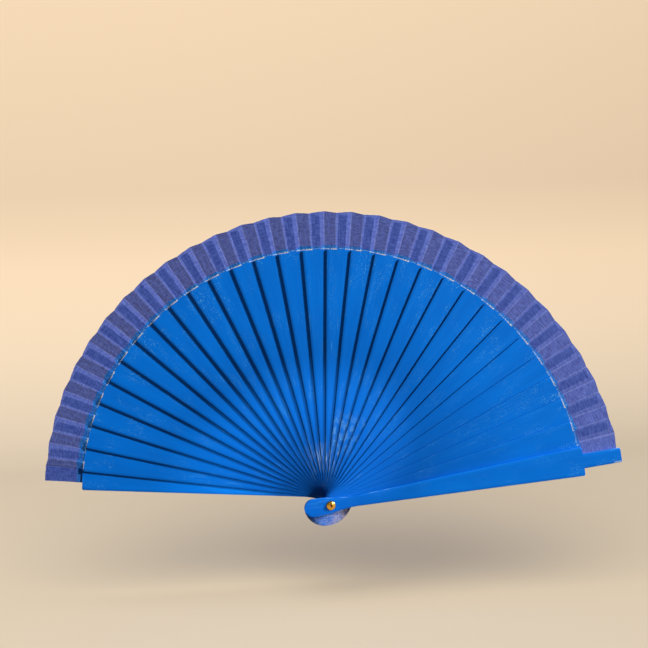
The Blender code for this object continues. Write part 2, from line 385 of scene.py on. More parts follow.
def pleatTree(name, folds):
    # a panel of leaf between two blades: folds are (degrees from the left blade, share of the step
    # between the blades' layers, height of the fold, 1 where glued, reach of the cut edge, 1 or -1 at
    # a crease)
    s = leafShape
    sizes = ("Left Angle", "Left Depth", "Right Depth", "Inner Radius", "Outer Radius", "Outer Change",
             "Fold Height", "Wrinkle", "Seed")
    inputs = [(label, "NodeSocketFloat") for label in sizes] + [("Cloth", "NodeSocketMaterial")]
    tree, given, out = newTree(name, inputs)
    spans = len(folds) - 1
    columns = spans * (s["columns"] // spans)
    lowDeg, highDeg = folds[0][0], folds[-1][0]
    grid = addNode(tree, "GeometryNodeMeshGrid",
                   {"Size X": 1.0, "Size Y": 1.0, "Vertices X": columns + 1, "Vertices Y": s["rows"]})
    position = addNode(tree, "GeometryNodeInputPosition")
    split = addNode(tree, "ShaderNodeSeparateXYZ", {}, {0: position})
    t = addNode(tree, "ShaderNodeMath", {"operation": "ADD", 1: 0.5}, {0: split.outputs["X"]})
    v = addNode(tree, "ShaderNodeMath", {"operation": "ADD", 1: 0.5}, {0: split.outputs["Y"]})

    def curveOf(column, low, high):
        # piecewise straight values at the folds, scaled from 0 to 1 and back
        node = addNode(tree, "ShaderNodeFloatCurve", {}, {"Value": t})
        setCurve(node, [(k / spans, (fold[column] - low) / (high - low)) for k, fold in enumerate(folds)])
        return addNode(tree, "ShaderNodeMapRange", {"To Min": low, "To Max": high, "clamp": False},
                       {"Value": node})

    deg = curveOf(0, lowDeg, highDeg)
    share = curveOf(1, 0.0, 1.0)
    height = curveOf(2, -1.0, 1.0)
    glued = curveOf(3, 0.0, 1.0)
    reach = curveOf(4, 0.0, 3.0)
    crease = curveOf(5, -1.0, 1.0)

    # radius, with the cut edge slightly wavy and standing out at the folds behind
    level = addNode(tree, "ShaderNodeMath", {"operation": "MULTIPLY_ADD"},
                    {0: t, 1: given["Outer Change"], 2: given["Outer Radius"]})
    tip = addNode(tree, "ShaderNodeMath", {"operation": "MULTIPLY_ADD", 1: s["outerReach"]},
                  {0: reach, 2: level})
    across = addNode(tree, "ShaderNodeMath", {"operation": "SUBTRACT"}, {0: given["Left Angle"], 1: deg})
    waveAt = addNode(tree, "ShaderNodeCombineXYZ", {}, {"X": across, "Z": given["Seed"]})
    wave = addNode(tree, "ShaderNodeTexNoise", s["waveNoise"], {"Vector": waveAt})
    waveSize = addNode(tree, "ShaderNodeMapRange", {"To Min": -s["edgeWave"], "To Max": s["edgeWave"]},
                       {"Value": wave})
    tipWavy = addNode(tree, "ShaderNodeMath", {"operation": "ADD"}, {0: tip, 1: waveSize})
    innerWavy = addNode(tree, "ShaderNodeMath", {"operation": "MULTIPLY_ADD", 1: s["innerWaveShare"]},
                        {0: waveSize, 2: given["Inner Radius"]})
    radius = addNode(tree, "ShaderNodeMapRange", {}, {"Value": v, "To Min": innerWavy, "To Max": tipWavy})

    # depth: from the left blade's layer to the right one's, with the folds and small wrinkles on top
    step = addNode(tree, "ShaderNodeMapRange", {},
                   {"Value": share, "To Min": given["Left Depth"], "To Max": given["Right Depth"]})
    folded = addNode(tree, "ShaderNodeMath", {"operation": "MULTIPLY_ADD"},
                     {0: height, 1: given["Fold Height"], 2: step})
    crinkleAt = addNode(tree, "ShaderNodeCombineXYZ", {}, {"X": across, "Y": v, "Z": given["Seed"]})
    stretched = addNode(tree, "ShaderNodeVectorMath", {"operation": "MULTIPLY", 1: s["crinkleScale"]},
                        {0: crinkleAt})
    crinkle = addNode(tree, "ShaderNodeTexNoise", s["crinkleNoise"], {"Vector": stretched})
    loose = addNode(tree, "ShaderNodeMath", {"operation": "SUBTRACT", 0: 1.0}, {1: glued})
    looseCrinkle = addNode(tree, "ShaderNodeMath", {"operation": "MULTIPLY"},
                           {0: loose, 1: given["Wrinkle"]})
    crinkleSize = addNode(tree, "ShaderNodeMath", {"operation": "SUBTRACT", 1: 0.5}, {0: crinkle})
    depth = addNode(tree, "ShaderNodeMath", {"operation": "MULTIPLY_ADD"},
                    {0: crinkleSize, 1: looseCrinkle, 2: folded})

    turn = addNode(tree, "ShaderNodeMath", {"operation": "RADIANS"}, {0: across})
    cosine = addNode(tree, "ShaderNodeMath", {"operation": "COSINE"}, {0: turn})
    sine = addNode(tree, "ShaderNodeMath", {"operation": "SINE"}, {0: turn})
    x = addNode(tree, "ShaderNodeMath", {"operation": "MULTIPLY"}, {0: cosine, 1: radius})
    z = addNode(tree, "ShaderNodeMath", {"operation": "MULTIPLY"}, {0: sine, 1: radius})
    place = addNode(tree, "ShaderNodeCombineXYZ", {}, {"X": x, "Y": depth, "Z": z})

    # the cloth's own measure in millimetres, across and outwards, and where it is glued
    acrossMm = addNode(tree, "ShaderNodeMath", {"operation": "MULTIPLY", 1: math.radians(s["middleMm"])},
                       {0: across})
    outMm = addNode(tree, "ShaderNodeMath", {"operation": "DIVIDE", 1: mm}, {0: radius})
    clothMm = addNode(tree, "ShaderNodeCombineXYZ", {}, {"X": acrossMm, "Y": outMm, "Z": across})
    sheet = grid.outputs["Mesh"]
    for label, kind, value in (("clothMm", "FLOAT_VECTOR", clothMm), ("glued", "FLOAT", glued),
                               ("crease", "FLOAT", crease)):
        sheet = addNode(tree, "GeometryNodeStoreNamedAttribute", {"data_type": kind, "Name": label},
                        {"Geometry": sheet, "Value": value})
    moved = addNode(tree, "GeometryNodeSetPosition", {}, {"Geometry": sheet, "Position": place})
    return finishedTree(tree, out, moved, given["Cloth"])


def makeLeaf(cloth):
    # one panel for each pair of neighbouring blades, from the rear guard round to the front one
    s = leafShape
    # the folds that the blades have beside them, as pleatTree takes them
    atLeft = [(0, 0, 0, 1, 0.45, 0), (s["glueHalfDeg"], 0, 0, 1, 0.7, 0), (s["valleyDeg"], 0, 1, 0, 1, -1)]

    def atRight(pitch):
        return [(pitch - s["mountainDeg"], 1, -s["mountainHeight"] / s["valleyDepth"], 0, 0, 1),
                (pitch - s["glueHalfDeg"], 1, 0, 1, 0.2, 0), (pitch, 1, 0, 1, 0.45, 0)]

    folds = {
        "rear": [(-s["rearEndDeg"], 0, 0, 1, 0.9, 0), (s["rearFoldDeg"], 0, 0, 1, 1.0, 0),
                 *atRight(stack["rearPitchDeg"])],
        "inner": [*atLeft, *atRight(stack["pitchDeg"])],
        "front": [*atLeft, (stack["frontPitchDeg"] - s["endDeg"], 1, 0, 1, 0, 0),
                  (stack["frontPitchDeg"] + s["endDeg"], 1, 0, 1, 0.2, 0)],
    }
    trees = {kind: pleatTree(kind + "Pleat", rows) for kind, rows in folds.items()}
    chance = random.Random(s["foldSeed"])
    seedMesh = bpy.data.meshes.new("leafSeed")

    def glueDepth(number):
        # the plane that the cloth lies in where it is glued: behind the front guard, before the others
        k = bladeKinds[bladeKind(number)]
        back = middleOf(bladeName(number)) + k["thickness"] / 2
        return back + s["glueGap"] if number == 0 else back - k["tipThickness"] - s["glueGap"]

    def cutEdge(deg):
        # the outer edge flares a little towards the front guard
        t = min(max((s["flareFromDeg"] - deg) / (s["flareFromDeg"] - frontGuardDeg), 0.0), 1.0)
        return s["outer"] + s["frontFlare"] * t ** s["flarePower"]

    area = 0.0
    for number in range(lastBlade, 0, -1):
        kind = {lastBlade: "rear", 1: "front"}.get(number, "inner")
        left, right = bladeDeg(number), bladeDeg(number - 1)
        values = {"Left Angle": left, "Left Depth": glueDepth(number), "Right Depth": glueDepth(number - 1),
                  "Inner Radius": s["inner"], "Outer Radius": cutEdge(left),
                  "Outer Change": cutEdge(right) - cutEdge(left),
                  "Fold Height": s["valleyDepth"] * chance.uniform(*s["foldChange"]),
                  "Wrinkle": s["wrinkle"], "Seed": s["seed"], "Cloth": cloth}
        panel = runTree(f"leaf_pleat_{number:02d}", seedMesh, trees[kind], values)
        finishedMesh(panel, s["sharpDeg"])
        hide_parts("leaf")
        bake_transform(panel)
        flat = sum(p.area for p in panel.data.polygons)
        area += flat
    print("leaf made, cloth area in cm2:", round(area * 1e4, 1))


rivetShape = {
    "shaftRadius": 1.5 * mm,
    "headRadius": 3.25 * mm,
    "headHeight": 1.3 * mm,
    "dimpleRadius": 0.95 * mm,
    "dimpleDepth": 0.5 * mm,
    "tailRadius": 2.5 * mm,
    "tailHeight": 0.8 * mm,
    "washerRadius": 3.6 * mm,
    "washerThickness": 0.5 * mm,
    "washerPlay": 0.15 * mm,
    "washerEdge": 0.12 * mm,
    "dimpleShares": (0.35, 0.65, 0.85),   # rings of points from the dimple's middle
    "domeDeg": 74,
    "domeSteps": 14,
    "domeLift": 0.1 * mm,
    "rimIn": 0.1 * mm,
    "rimBehind": 0.12 * mm,
    "tailTurns": (0, 20, 40, 60, 75, 90),
    "tailShare": 0.85,
    "steps": 72,
    "sharpDeg": 35,
}


def turnedPiece(name, profile, metal, closed):
    # spins a profile of (radius, place along Y) about the rivet's axis
    shape = bmesh.new()
    verts = [shape.verts.new((radius, y, 0.0)) for radius, y in profile]
    edges = [shape.edges.new(pair) for pair in zip(verts, verts[1:])]
    if closed:
        edges.append(shape.edges.new((verts[-1], verts[0])))
    bmesh.ops.spin(shape, geom=verts + edges, cent=(0, 0, 0), axis=(0, 1, 0), dvec=(0, 0, 0),
                   angle=2 * math.pi, steps=rivetShape["steps"], use_merge=True)
    bmesh.ops.remove_doubles(shape, verts=shape.verts, dist=0.0001 * mm)
    bmesh.ops.recalc_face_normals(shape, faces=shape.faces)
    mesh = bpy.data.meshes.new(name)
    shape.to_mesh(mesh)
    shape.free()
    mesh.materials.append(metal)
    return finishedMesh(newObject(name, mesh), rivetShape["sharpDeg"])


def makeRivet(brass):
    # a domed head with a dimple in front, a peened tail behind, and a washer under the tail
    s = rivetShape
    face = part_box("front_guard")[0].y - stack["clearance"]
    profile = [(0.0, face - s["headHeight"] + s["dimpleDepth"])]
    for share in s["dimpleShares"]:
        drop = s["dimpleDepth"] * (1 - share ** 3)
        profile.append((s["dimpleRadius"] * share, face - s["headHeight"] + drop))
    low = math.cos(math.radians(s["domeDeg"]))
    for step in range(s["domeSteps"] + 1):
        t = step / s["domeSteps"]
        turn = math.radians(s["domeDeg"] * (1 - t))
        out = (math.cos(turn) - low) / (1 - low)
        radius = s["dimpleRadius"] + (s["headRadius"] - s["dimpleRadius"]) * out
        profile.append((radius, face - s["headHeight"] * math.sin(turn) - s["domeLift"] * (1 - t)))
    behind = face + s["rimBehind"]
    profile += [(s["headRadius"] - s["rimIn"], behind), (s["shaftRadius"], behind)]
    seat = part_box("rear_guard")[1].y + s["washerThickness"] + 2 * stack["clearance"] - s["rimIn"]
    profile += [(s["shaftRadius"], seat), (s["tailRadius"] - s["rimIn"], seat)]
    for deg in s["tailTurns"]:
        turn = math.radians(deg)
        rise = s["tailHeight"] * math.sin(turn) * s["tailShare"]
        profile.append((s["tailRadius"] * math.cos(turn), seat + s["rimIn"] + rise))
    rivet = turnedPiece("rivet_brass", profile, brass, False)
    low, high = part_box("rivet_washer")[0].y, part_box("rivet_washer")[1].y
    inner, outer, edge = s["shaftRadius"] + s["washerPlay"], s["washerRadius"], s["washerEdge"]
    ring = [(inner, low), (outer - edge, low), (outer, low + edge)]
    ring += [(outer, high - edge), (outer - edge, high), (inner, high)]
    washer = turnedPiece("rivet_washer_brass", ring, brass, True)
    for piece, node in ((rivet, "rivet"), (washer, "rivet_washer")):
        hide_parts(node)
        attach(piece, "rear_guard")
    print("rivet made")


def newMaterial(name, settings):
    # a material with its shader, and its node tree
    material = bpy.data.materials.new(name)
    material.use_nodes = True
    tree = material.node_tree
    shader = tree.nodes["Principled BSDF"]
    for key, value in settings.items():
        shader.inputs[key].default_value = value
    return material, tree, shader


def noiseMask(tree, place, scale, low, high, detail):
    # a patchy mask from 0 to 1 out of noise stretched by scale along each axis of place
    stretched = addNode(tree, "ShaderNodeVectorMath", {"operation": "MULTIPLY", 1: scale}, {0: place})
    noise = addNode(tree, "ShaderNodeTexNoise", {"Scale": 1.0, "Detail": detail}, {"Vector": stretched})
    return addNode(tree, "ShaderNodeMapRange", {"From Min": low, "From Max": high}, {"Value": noise})


def bandMask(tree, value, low, high, soft):
    # 1 where value lies between low and high, fading over soft
    ends = []
    for start, full in ((low - soft, low + soft), (high + soft, high - soft)):
        span = {"From Min": start, "From Max": full}
        ends.append(addNode(tree, "ShaderNodeMapRange", span, {"Value": value}))
    return overlap(tree, *ends)


def overlap(tree, *masks):
    # where all these masks meet; a mask can also be a plain number
    result = masks[0]
    for mask in masks[1:]:
        plain = isinstance(mask, (int, float))
        settings, links = ({1: mask}, {}) if plain else ({}, {1: mask})
        settings["operation"] = "MULTIPLY"
        result = addNode(tree, "ShaderNodeMath", settings, {0: result, **links})
    return result


def layered(tree, base, layers, sources, kind=None):
    # the base colour under layers: each shows by its amount where its fades, bands and patches meet
    colour = base
    for layer in layers.values():
        if layer.get("on", kind) != kind:
            continue
        masks = []
        for source, start, full, *least in layer.get("fades", ()):
            settings = {"From Min": start, "From Max": full, "To Min": least[0] if least else 0.0}
            masks.append(addNode(tree, "ShaderNodeMapRange", settings, {"Value": sources[source]}))
        for source, low, high, soft in layer.get("bands", ()):
            masks.append(bandMask(tree, sources[source], low, high, soft))
        for source, *pattern in layer.get("patches", ()):
            masks.append(noiseMask(tree, sources[source], *pattern))
        share = overlap(tree, *masks, layer["amount"])
        mix = addNode(tree, "ShaderNodeMix", {"data_type": "RGBA"}, {0: share})
        if isinstance(colour, str):
            mix.inputs[6].default_value = (*hexToLinear(colour), 1.0)
        else:
            tree.links.new(colour, mix.inputs[6])
        mix.inputs[7].default_value = (*hexToLinear(layer["colour"]), 1.0)
        colour = mix.outputs[2]
    return colour


# Layers over a first colour, from the bottom up. A fade is (source, start, full, least), a band is
# (source, low, high, softness), and a patch is (source, features per mm, noise levels for 0 and 1,
# detail). Lengths are in mm, and "number" counts the blades from the front guard.

stickShoulderMm = bladeKinds["stick"]["shoulder"] / mm
scuffedArea = ("here", (0.05, 0.1, 1.0), 0.5, 0.62, 3.0)
rubbedPatch = ("here", (0.12, 0.4, 1.0), 0.44, 0.54, 3.0)

paintLook = {
    "firstCoat": "#0074E2",
    "shader": {"Roughness": 0.5, "IOR": 1.5, "Specular IOR Level": 0.12},
    "brushMarks": ("here", (0.035, 1.1, 1.0), 0.3, 0.7, 4.0),
    "roughness": {"To Min": 0.34, "To Max": 0.52},        # between the brush marks and on them
    "grooves": ((0.06, 3.2, 1.0), 0.2, 0.8, 3.0),
    "grooveRelief": {"Strength": 0.35, "Distance": 0.05 * mm},
    "shiftPerBlade": 17.3,                                # so that no two blades carry the same marks
    "cutSideMm": {"stick": -0.26, "guard": -0.6},         # depth at which the flat face begins
    "cutSideFadeMm": 0.06,
    "cutSideEdge": {"From Min": 0.985, "From Max": 0.998},
}

paintLayers = {
    "brushMarks": {"colour": "#047CEA", "amount": 0.5, "patches": [paintLook["brushMarks"]]},
    "clouds": {"colour": "#005CC0", "amount": 0.3,
               "patches": [("here", (0.03, 0.12, 1.0), 0.32, 0.68, 3.0)]},
    # painted shade: the paint darkens towards the rivet, in place of the shade where the blades overlap
    # near the pivot
    "paintedShadeInnerSticks": {"on": "stick", "colour": "#0056B4", "amount": 0.95, "fades": [("along", 140.0, 50.0)]},
    "paintedShadeInnerGuards": {"on": "guard", "colour": "#0056B4", "amount": 0.95, "fades": [("along", 75.0, 20.0)]},
    "scratches": {"colour": "#5FB4E8", "amount": 0.7,
                  "patches": [("here", (0.05, 5.0, 1.0), 0.66, 0.72, 2.0), scuffedArea]},
    "specks": {"colour": "#5FB4E8", "amount": 0.75, "fades": [("along", 130.0, 178.0, 0.25)],
               "patches": [("here", (1.0, 1.3, 1.0), 0.62, 0.7, 1.0), scuffedArea]},
    # painted shade: the sticks' cut sides are painted deep blue, in place of the shade in the gaps between
    # blades
    "paintedShadeSides": {"on": "stick", "colour": "#002A80", "amount": 0.85, "fades": [("cutSide", 0.0, 1.0)]},
    "bareShoulders": {"on": "stick", "colour": "#E9DAC0", "amount": 1.0, "fades": [("side", 2.9, 3.3)],
                      "bands": [("along", stickShoulderMm - 0.2, stickShoulderMm + 0.6, 0.12)],
                      "patches": [("here", (0.5, 0.45, 1.0), 0.34, 0.42, 3.0)]},
    "rubbedSticks": {"on": "stick", "colour": "#7FB6E6", "amount": 0.8,
                     "fades": [("edge", 0.86, 0.97), ("flatFace", 0.0, 1.0)],
                     "bands": [("along", 14.0, 48.0, 6.0), ("number", 11.0, 19.0, 1.5)],
                     "patches": [rubbedPatch]},
    "rubbedGuardHeads": {"on": "guard", "colour": "#7FB6E6", "amount": 0.32,
                         "fades": [("edge", 0.86, 0.97), ("flatFace", 0.0, 1.0)],
                         "bands": [("along", -14.0, 45.0, 4.0)], "patches": [rubbedPatch]},
    "rubbedGuardTips": {"on": "guard", "colour": "#7FB6E6", "amount": 0.32,
                        "fades": [("edge", 0.86, 0.97), ("flatFace", 0.0, 1.0)],
                        "bands": [("along", 203.0, 213.0, 1.5)], "patches": [rubbedPatch]},
    "chippedTip": {"on": "guard", "colour": "#B4D2EC", "amount": 0.85,     # the front guard's lower corner
                   "bands": [("along", 206.3, 211.3, 0.5), ("side", -4.75, -3.9, 0.25),
                             ("number", -1.0, 1.0, 0.3)],
                   "patches": [("here", (0.5, 1.5, 1.0), 0.36, 0.5, 3.0)]},
    "blotches": {"on": "stick", "colour": "#7FBBD6", "amount": 0.38,       # rubbed near the rivet
                 "bands": [("number", 9.6, 13.4, 0.5), ("along", 38.0, 62.0, 5.0)],
                 "patches": [("here", (0.22, 0.3, 1.0), 0.46, 0.6, 3.0),
                             ("here", (1.2, 1.6, 1.0), 0.4, 0.6, 3.0)]},
    "wornStreaks": {"on": "stick", "colour": "#B4D2EC", "amount": 0.35,
                    "bands": [("number", 11.4, 18.6, 0.5), ("along", 24.0, 38.0, 5.0)],
                    "patches": [("here", (0.12, 1.8, 1.0), 0.52, 0.6, 3.0)]},
    "headRings": {"on": "stick", "colour": "#A6BEBA", "amount": 0.4,       # the heads turn on each other
                  "fades": [("along", -1.0, -5.0), ("flatFace", 0.0, 1.0)],
                  "patches": [("rings", (1.6, 0.7, 1.0), 0.54, 0.62, 2.0)]},
    "headWear": {"on": "stick", "colour": "#DCC2A6", "amount": 0.72,
                 "fades": [("along", -1.0, -5.0), ("number", 9.0, 21.0, 0.12), ("flatFace", 0.0, 1.0)],
                 "patches": [("here", (0.5, 0.9, 1.0), 0.36, 0.56, 5.0)]},
}


def paintedWood(name, kind):
    # thin wood brushed with blue spirit paint: the brush leaves streaks along the grain, and rubbing leaves
    # pale scuffs, bare wood at the shoulders and worn heads; painted shade darkens the blades towards the
    # rivet and on their cut sides
    s = paintLook
    material, tree, shader = newMaterial(name, s["shader"])
    place = addNode(tree, "ShaderNodeAttribute", {"attribute_name": "bladeMm"}).outputs["Vector"]
    edge = addNode(tree, "ShaderNodeAttribute", {"attribute_name": "edge"}).outputs["Fac"]
    number = addNode(tree, "ShaderNodeAttribute", {"attribute_name": "bladeNumber"}).outputs["Fac"]
    along, side, depth = addNode(tree, "ShaderNodeSeparateXYZ", {}, {0: place}).outputs
    offset = addNode(tree, "ShaderNodeCombineXYZ", {}, {"Z": overlap(tree, number, s["shiftPerBlade"])})
    here = addNode(tree, "ShaderNodeVectorMath", {"operation": "ADD"}, {0: place, 1: offset})
    # the cut sides of a blade lie behind its flat face, at its very edge
    face = s["cutSideMm"][kind]
    deep = addNode(tree, "ShaderNodeMapRange", {"From Min": face - s["cutSideFadeMm"], "From Max": face},
                   {"Value": depth})
    outermost = addNode(tree, "ShaderNodeMapRange", s["cutSideEdge"], {"Value": edge})
    cutSide = overlap(tree, deep, outermost)
    flatFace = addNode(tree, "ShaderNodeMath", {"operation": "SUBTRACT", 0: 1.0}, {1: cutSide})
    flat = addNode(tree, "ShaderNodeCombineXYZ", {}, {"X": along, "Y": side})
    radius = addNode(tree, "ShaderNodeVectorMath", {"operation": "LENGTH"}, {0: flat})
    rings = addNode(tree, "ShaderNodeCombineXYZ", {}, {"X": radius.outputs["Value"], "Y": number})
    sources = {"here": here, "rings": rings, "along": along, "side": side,
               "edge": edge, "number": number, "cutSide": cutSide, "flatFace": flatFace}
    colour = layered(tree, s["firstCoat"], paintLayers, sources, kind)
    tree.links.new(colour, shader.inputs["Base Color"])
    streak = noiseMask(tree, sources["here"], *s["brushMarks"][1:])
    rough = addNode(tree, "ShaderNodeMapRange", s["roughness"], {"Value": streak})
    tree.links.new(rough.outputs[0], shader.inputs["Roughness"])
    groove = noiseMask(tree, sources["here"], *s["grooves"])
    bump = addNode(tree, "ShaderNodeBump", s["grooveRelief"], {"Height": groove})
    tree.links.new(bump.outputs[0], shader.inputs["Normal"])
    return material


clothLook = {
    "thread": "#2D45A2",
    "shader": {"Roughness": 0.85, "Specular IOR Level": 0.2, "Sheen Weight": 0.25, "Sheen Roughness": 0.5},
    "threadMm": 0.9,          # drawn coarser than the real 0.35 mm, to show
    "wavesPerScale": 0.314,   # a wave texture's threads per unit of scale
    "threadWobble": {"Scale": 0.35, "Detail": 2.0},
    "wobbleMm": (0.9, 0.9, 0.0),
    "stainEdge": ((0.5, 0.1, 0.0), 0.3, 0.7, 4.0),
    "stainRaggedMm": 1.5,
    "stainReachMm": {"To Min": 184.2, "To Max": 183.2},   # from the rivet, on loose cloth and on glued
    "stainLeft": {"From Min": 120.0, "From Max": 172.0, "To Max": 2.9},   # more towards the rear guard
    "stainFadeMm": {"From Min": -0.3, "From Max": 0.4},
    "creases": ((0.55, 0.16, 0.0), 0.2, 0.8, 4.0),
    "creaseRelief": {"Strength": 0.5, "Distance": 0.45 * mm},
    "weaveRelief": {"Strength": 0.4, "Distance": 0.12 * mm},
    "glow": 0.2,              # share of light that comes through the threads
    "gaps": {"From Min": 0.25, "From Max": 0.75, "To Min": 0.096, "To Max": 0.008},   # clear share
}

lastFoldDeg = rearGuardDeg - leafShape["rearFoldDeg"]

clothLayers = {
    "slubs": {"colour": "#556FC8", "amount": 0.85,
              "patches": [("cloth", (0.22, 0.95, 0.0), 0.36, 0.64, 4.0)]},
    "faded": {"colour": "#556FC8", "amount": 0.35,
              "patches": [("cloth", (0.12, 0.16, 0.0), 0.3, 0.7, 4.0)]},
    # darker weft on the loose facets only: partly the cloth's uneven threads, partly painted shade on the
    # facets that turn from the light
    "weftAndFacetShade": {"colour": "#26327E", "amount": 0.42, "fades": [("loose", 0.0, 1.0)],
             "patches": [("cloth", (0.3, 1.15, 0.0), 0.42, 0.6, 4.0)]},
    # paler along the creases: partly wear at the folds, partly a painted highlight where the fold crests
    # catch the light
    "rubbedAndLitFolds": {"colour": "#7488DA", "amount": 0.6, "fades": [("crease", 0.84, 0.96)],
                    "patches": [("cloth", (0.3, 0.35, 0.0), 0.3, 0.5, 3.0)]},
    # painted shadow: a dark line in the last fold against the rear guard, where the pleat's shadow falls
    "foldShadowAtRearGuard": {"colour": "#1A2258", "amount": 0.75,     # against the rear guard
                   "bands": [("angle", lastFoldDeg - 0.2, lastFoldDeg - 0.02, 0.08)]},
    "paintStain": {"colour": "#0068C8", "amount": 0.95, "fades": [("stain", 0.0, 1.0)]},
    "frayedEdge": {"colour": "#A9D4EC", "amount": 0.75, "fades": [("outward", 183.2, 182.7)],
                   "patches": [("cloth", (0.7, 1.1, 0.0), 0.48, 0.56, 2.0)]},
    "paintSpecks": {"colour": "#A9D4EC", "amount": 0.28, "fades": [("stain", 0.0, 1.0)],
                    "patches": [("cloth", (1.3, 0.9, 0.0), 0.56, 0.66, 2.0)]},
}


def wovenCotton():
    # thin plain-woven cotton, dyed blue-violet and gone pale: soft, a little see-through, threads showing,
    # with the sticks' paint soaked into its inner edge, and painted shade and highlight on its facets and
    # folds
    s = clothLook
    material, tree, shader = newMaterial("wovenCottonDyed", s["shader"])
    cloth = addNode(tree, "ShaderNodeAttribute", {"attribute_name": "clothMm"}).outputs["Vector"]
    outward, angle = addNode(tree, "ShaderNodeSeparateXYZ", {}, {0: cloth}).outputs[1:]
    glued = addNode(tree, "ShaderNodeAttribute", {"attribute_name": "glued"}).outputs["Fac"]
    loose = addNode(tree, "ShaderNodeMath", {"operation": "SUBTRACT", 0: 1.0}, {1: glued})
    crease = addNode(tree, "ShaderNodeAttribute", {"attribute_name": "crease"}).outputs["Fac"]
    creased = addNode(tree, "ShaderNodeMath", {"operation": "ABSOLUTE"}, {0: crease})

    # the stain ends in a ragged line, further out where the cloth hangs loose and towards the left
    ragged = noiseMask(tree, cloth, *s["stainEdge"])
    level = addNode(tree, "ShaderNodeMapRange", s["stainReachMm"], {"Value": glued})
    left = addNode(tree, "ShaderNodeMapRange", s["stainLeft"], {"Value": angle})
    both = addNode(tree, "ShaderNodeMath", {"operation": "ADD"}, {0: level, 1: left})
    reach = addNode(tree, "ShaderNodeMath", {"operation": "MULTIPLY_ADD", 1: s["stainRaggedMm"]},
                    {0: ragged, 2: both})
    inside = addNode(tree, "ShaderNodeMath", {"operation": "SUBTRACT"}, {0: reach, 1: outward})
    stain = addNode(tree, "ShaderNodeMapRange", s["stainFadeMm"], {"Value": inside})

    sources = {"cloth": cloth, "outward": outward, "angle": angle, "loose": loose,
               "crease": creased, "stain": stain}
    colour = layered(tree, s["thread"], clothLayers, sources)
    tree.links.new(colour, shader.inputs["Base Color"])

    # slightly uneven threads both ways
    wobble = addNode(tree, "ShaderNodeTexNoise", s["threadWobble"], {"Vector": cloth})
    shifted = addNode(tree, "ShaderNodeVectorMath", {"operation": "MULTIPLY_ADD", 1: s["wobbleMm"]},
                      {0: wobble.outputs["Color"], 2: cloth})
    waves = []
    for axis in ("X", "Y"):
        wave = addNode(tree, "ShaderNodeTexWave", {"wave_type": "BANDS", "bands_direction": axis,
                       "Scale": s["wavesPerScale"] / s["threadMm"]}, {"Vector": shifted})
        waves.append(wave.outputs["Fac"])
    weave = addNode(tree, "ShaderNodeMath", {"operation": "MAXIMUM"}, {0: waves[0], 1: waves[1]})
    creases = noiseMask(tree, cloth, *s["creases"])
    crumple = addNode(tree, "ShaderNodeBump", s["creaseRelief"], {"Height": creases})
    bump = addNode(tree, "ShaderNodeBump", s["weaveRelief"], {"Height": weave, "Normal": crumple})
    tree.links.new(bump.outputs[0], shader.inputs["Normal"])

    # light comes through the threads, and the gaps between them are clear where no paint fills them
    glow = addNode(tree, "ShaderNodeBsdfTranslucent", {}, {"Color": colour})
    threads = addNode(tree, "ShaderNodeMixShader", {0: s["glow"]}, {1: shader, 2: glow})
    gap = addNode(tree, "ShaderNodeMapRange", s["gaps"], {"Value": weave})
    unpainted = addNode(tree, "ShaderNodeMath", {"operation": "SUBTRACT", 0: 1.0}, {1: stain})
    clearShare = overlap(tree, gap, unpainted)
    clear = addNode(tree, "ShaderNodeBsdfTransparent")
    whole = addNode(tree, "ShaderNodeMixShader", {}, {0: clearShare, 1: threads, 2: clear})
    tree.links.new(whole.outputs[0], tree.nodes["Material Output"].inputs["Surface"])
    return material


brassLook = {
    "golden": "#E2B04A",
    "shader": {"Metallic": 1.0, "Roughness": 0.24},
    "mottle": ("flat", (0.9, 0.9, 0.9), 0.3, 0.7, 3.0),
    "roughness": {"To Min": 0.2, "To Max": 0.36},
}

brassLayers = {
    "tarnish": {"colour": "#C98F35", "amount": 0.5, "patches": [brassLook["mottle"]]},
    "dimple": {"colour": "#7A3F2A", "amount": 1.0, "fades": [("radius", 1.05, 0.7)]},
}


def pressedBrass():
    # pressed and turned brass: golden, softly polished, darker and redder in the dimple
    s = brassLook
    material, tree, shader = newMaterial("pressedBrass", s["shader"])
    place = addNode(tree, "ShaderNodeTexCoord").outputs["Object"]
    toMm = (1 / mm, 0.0, 1 / mm)
    flat = addNode(tree, "ShaderNodeVectorMath", {"operation": "MULTIPLY", 1: toMm}, {0: place})
    radius = addNode(tree, "ShaderNodeVectorMath", {"operation": "LENGTH"}, {0: flat})
    sources = {"flat": flat, "radius": radius.outputs["Value"]}
    tree.links.new(layered(tree, s["golden"], brassLayers, sources), shader.inputs["Base Color"])
    mottle = noiseMask(tree, sources["flat"], *s["mottle"][1:])
    rough = addNode(tree, "ShaderNodeMapRange", s["roughness"], {"Value": mottle})
    tree.links.new(rough.outputs[0], shader.inputs["Roughness"])
    return material


stage = {
    "floorDrop": 68.0 * mm,     # floor below the rivet
    "frontEdge": -2.5,
    "backDistance": 0.9,
    "sweepRadius": 0.45,
    "wallTop": 3.0,
    "width": 14.0,
    "floorColour": "#D6C8B3",
    "wallColour": "#F6DEBF",
    "blendHeight": 0.3,         # from the floor's colour to the wall's
    "shader": {"Roughness": 0.9, "Specular IOR Level": 0.1},
}


